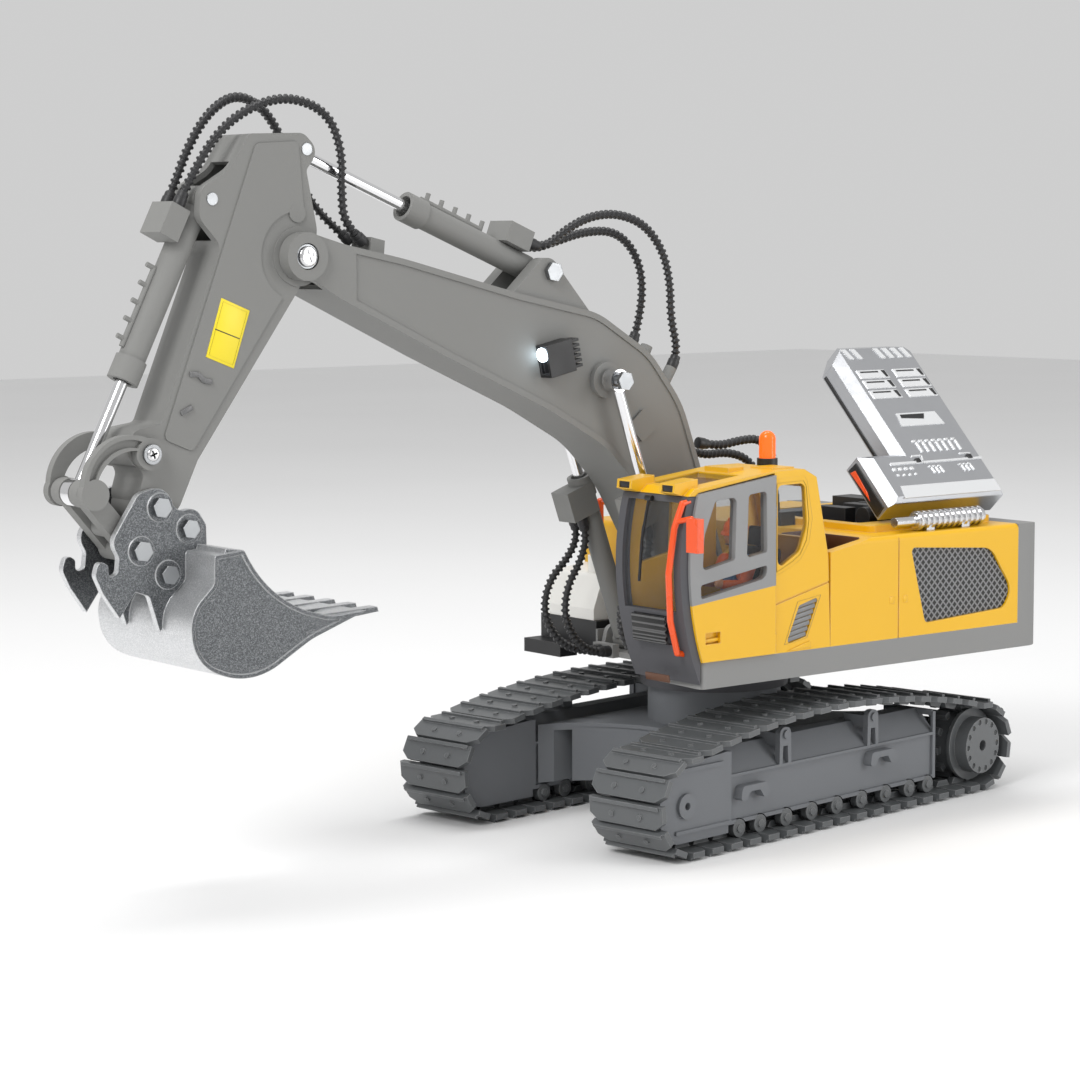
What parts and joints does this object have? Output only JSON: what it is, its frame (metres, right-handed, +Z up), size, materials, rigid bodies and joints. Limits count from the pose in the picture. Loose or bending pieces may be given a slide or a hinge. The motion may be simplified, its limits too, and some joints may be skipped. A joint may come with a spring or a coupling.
{
  "type": "toy excavator",
  "caption": "Remote-controlled toy crawler excavator with a slewing upper body, glazed cab, opening engine hood, and jointed boom, arm and bucket with dummy cylinders and hoses.",
  "frame": {"origin": "on the ground, under the middle of the bounding box without the hoses, 76.57 mm ahead of the slewing axis", "axes": "+X forward along the boom, +Y to the machine's left, the cab side, +Z up; the undercarriage stands turned 7.3 degrees to the left under the upper body"},
  "size_m": [0.3756, 0.1478, 0.2501],
  "materials": {
    "track_grey": "moulded satin",
    "belt": "moulded satin",
    "dark_grey": "moulded satin",
    "motor_steel": "plated",
    "skirt_grey": "moulded satin",
    "yellow": "moulded gloss",
    "mesh_grey": "moulded mesh",
    "silver": "vacuum metallised",
    "muffler_chrome": "vacuum metallised",
    "black": "moulded satin",
    "tank_white": "moulded gloss",
    "orange": "moulded gloss",
    "glazing": "clear plastic",
    "overalls": "painted figure",
    "beacon": "translucent",
    "battery": "sleeved cells",
    "board_green": "solder mask",
    "boom_grey": "moulded satin",
    "pin_steel": "moulded, plated",
    "rod_chrome": "plated",
    "bucket_metal": "die cast, sparkling",
    "hose_black": "ribbed"
  },
  "bodies": {
    "undercarriage": {"centre_frame": "track_grey", "slew_gear": "dark_grey", "track_frame_left": "track_grey", "track_frame_right": "track_grey", "track_belt_left": "belt", "track_belt_right": "belt", "road_wheels": "track_grey", "drive_motors": "motor_steel"},
    "house": {"base_tray": "skirt_grey", "upper_shell": "yellow", "side_grilles": "mesh_grey", "muffler": "muffler_chrome", "engine_block": "black", "step_box": "black", "washer_tank": "tank_white", "grab_rail": "orange", "cab_shell": "yellow", "cab_front": "dark_grey", "cab_glazing": "glazing", "wiper": "black", "handrail": "orange", "seat": "black", "driver": "overalls", "beacon_base": "black", "beacon_lamp": "beacon", "battery_pack": "battery", "circuit_board": "board_green", "slew_motor": "motor_steel", "lift_hoses_left": "hose_black", "lift_hoses_right": "hose_black", "cab_hoses": "hose_black"},
    "boom": {"boom_half_left": "boom_grey", "boom_half_right": "boom_grey", "boom_pins": "pin_steel", "boom_lamps": "black", "arm_hoses": "hose_black"},
    "lift_barrel_left_body": {"lift_barrel_left": "boom_grey"},
    "lift_barrel_right_body": {"lift_barrel_right": "boom_grey"},
    "lift_rod_left_body": {"lift_rod_left": "rod_chrome"},
    "lift_rod_right_body": {"lift_rod_right": "rod_chrome"},
    "arm": {"arm_half_left": "boom_grey", "arm_half_right": "boom_grey", "arm_pins": "pin_steel", "bucket_hoses": "hose_black"},
    "arm_barrel_body": {"arm_barrel": "boom_grey"},
    "arm_rod_body": {"arm_rod": "rod_chrome"},
    "bucket_body": {"bucket": "bucket_metal", "bucket_bolts": "pin_steel"},
    "rocker_body": {"rocker_pair": "boom_grey"},
    "link_body": {"h_link": "boom_grey"},
    "bucket_barrel_body": {"bucket_barrel": "boom_grey"},
    "bucket_rod_body": {"bucket_rod": "rod_chrome"},
    "sprocket_left_body": {"sprocket_left": "track_grey"},
    "sprocket_right_body": {"sprocket_right": "track_grey"},
    "idler_left_body": {"idler_left": "track_grey"},
    "idler_right_body": {"idler_right": "track_grey"},
    "hood_body": {"hood": "silver"},
    "door_body": {"cab_door": "yellow", "door_glass": "glazing"},
    "switch_body": {"power_switch": "black"}
  },
  "joints": [
    {"name": "slew", "type": "hinge", "parent": "undercarriage", "child": "house", "pos_m": [-0.07657, 0, 0.0544], "axis": [0, 0, 1], "continuous": true},
    {"name": "boom_lift", "type": "hinge", "parent": "house", "child": "boom", "pos_m": [-0.06657, 0, 0.074], "axis": [0, -1, 0], "range_deg": [-18, 12], "deforming": ["cab_hoses"]},
    {"name": "lift_barrel_left_swing", "type": "hinge", "parent": "house", "child": "lift_barrel_left_body", "pos_m": [-0.04937, 0.0175, 0.06], "axis": [0, -1, 0], "range_deg": [-16.9, 11.28], "deforming": ["lift_hoses_left"]},
    {"name": "lift_barrel_right_swing", "type": "hinge", "parent": "house", "child": "lift_barrel_right_body", "pos_m": [-0.04937, -0.0175, 0.06], "axis": [0, -1, 0], "range_deg": [-16.9, 11.28], "deforming": ["lift_hoses_right"]},
    {"name": "lift_rod_left_swing", "type": "hinge", "parent": "boom", "child": "lift_rod_left_body", "pos_m": [-0.01537, 0.0175, 0.1557], "axis": [0, -1, 0], "range_deg": [-0.82, 1.2]},
    {"name": "lift_rod_right_swing", "type": "hinge", "parent": "boom", "child": "lift_rod_right_body", "pos_m": [-0.01537, -0.0175, 0.1557], "axis": [0, -1, 0], "range_deg": [-0.82, 1.2]},
    {"name": "arm_swing", "type": "hinge", "parent": "boom", "child": "arm", "pos_m": [0.10703, 0, 0.1986], "axis": [0, -1, 0], "range_deg": [-16, 18], "deforming": ["bucket_hoses"]},
    {"name": "arm_barrel_swing", "type": "hinge", "parent": "boom", "child": "arm_barrel_body", "pos_m": [0.00643, 0, 0.1927], "axis": [0, -1, 0], "range_deg": [-1.25, 1.4], "deforming": ["arm_hoses"]},
    {"name": "arm_rod_swing", "type": "hinge", "parent": "arm", "child": "arm_rod_body", "pos_m": [0.10333, 0, 0.2321], "axis": [0, -1, 0], "range_deg": [-16.7, 14.85]},
    {"name": "bucket_curl", "type": "hinge", "parent": "arm", "child": "bucket_body", "pos_m": [0.16073, 0, 0.1229], "axis": [0, -1, 0], "range_deg": [-8, 60]},
    {"name": "rocker_swing", "type": "hinge", "parent": "arm", "child": "rocker_body", "pos_m": [0.16373, 0, 0.1393], "axis": [0, -1, 0], "range_deg": [-5.49, 40.85]},
    {"name": "link_swing", "type": "hinge", "parent": "bucket_body", "child": "link_body", "pos_m": [0.16763, 0, 0.11], "axis": [0, -1, 0], "range_deg": [-44.09, 5.92]},
    {"name": "bucket_barrel_swing", "type": "hinge", "parent": "arm", "child": "bucket_barrel_body", "pos_m": [0.13843, 0, 0.2164], "axis": [0, -1, 0], "range_deg": [-0.93, 6.65]},
    {"name": "bucket_rod_swing", "type": "hinge", "parent": "rocker_body", "child": "bucket_rod_body", "pos_m": [0.18313, 0, 0.128], "axis": [0, -1, 0], "range_deg": [-34.25, 4.61]},
    {"name": "sprocket_left_turn", "type": "hinge", "parent": "undercarriage", "child": "sprocket_left_body", "pos_m": [-0.16323, 0.03507, 0.017], "axis": [-0.1271, 0.9919, 0], "continuous": true},
    {"name": "sprocket_right_turn", "type": "hinge", "parent": "undercarriage", "child": "sprocket_right_body", "pos_m": [-0.15159, -0.05579, 0.017], "axis": [-0.1271, 0.9919, 0], "continuous": true},
    {"name": "idler_left_turn", "type": "hinge", "parent": "undercarriage", "child": "idler_left_body", "pos_m": [-0.00224, 0.0557, 0.0178], "axis": [-0.1271, 0.9919, 0], "continuous": true},
    {"name": "idler_right_turn", "type": "hinge", "parent": "undercarriage", "child": "idler_right_body", "pos_m": [0.0094, -0.03516, 0.0178], "axis": [-0.1271, 0.9919, 0], "continuous": true},
    {"name": "hood_hinge", "type": "hinge", "parent": "house", "child": "hood_body", "pos_m": [-0.14057, 0.043, 0.1032], "axis": [1, 0, 0], "range_deg": [0, 46.6]},
    {"name": "door_hinge", "type": "hinge", "parent": "house", "child": "door_body", "pos_m": [-0.04877, 0.061, 0.095], "axis": [0, 0, 1], "range_deg": [0, 75]},
    {"name": "power_slide", "type": "slide", "parent": "house", "child": "switch_body", "axis": [1, 0, 0], "range_m": [0, 0.003]}
  ],
  "couplings": [
    {"joint": "lift_barrel_left_swing", "follows": "boom_lift", "ratio": 0.936},
    {"joint": "lift_barrel_right_swing", "follows": "boom_lift", "ratio": 0.936},
    {"joint": "lift_rod_left_swing", "follows": "boom_lift", "ratio": -0.064},
    {"joint": "lift_rod_right_swing", "follows": "boom_lift", "ratio": -0.064},
    {"joint": "arm_barrel_swing", "follows": "arm_swing", "ratio": 0.075},
    {"joint": "arm_rod_swing", "follows": "arm_swing", "ratio": -0.925},
    {"joint": "rocker_swing", "follows": "bucket_curl", "ratio": 0.68},
    {"joint": "link_swing", "follows": "bucket_curl", "ratio": -0.734},
    {"joint": "bucket_barrel_swing", "follows": "bucket_curl", "ratio": 0.11},
    {"joint": "bucket_rod_swing", "follows": "bucket_curl", "ratio": -0.57},
    {"joint": "idler_left_turn", "follows": "sprocket_left_turn", "ratio": 0.95506},
    {"joint": "idler_right_turn", "follows": "sprocket_right_turn", "ratio": 0.95506}
  ]
}
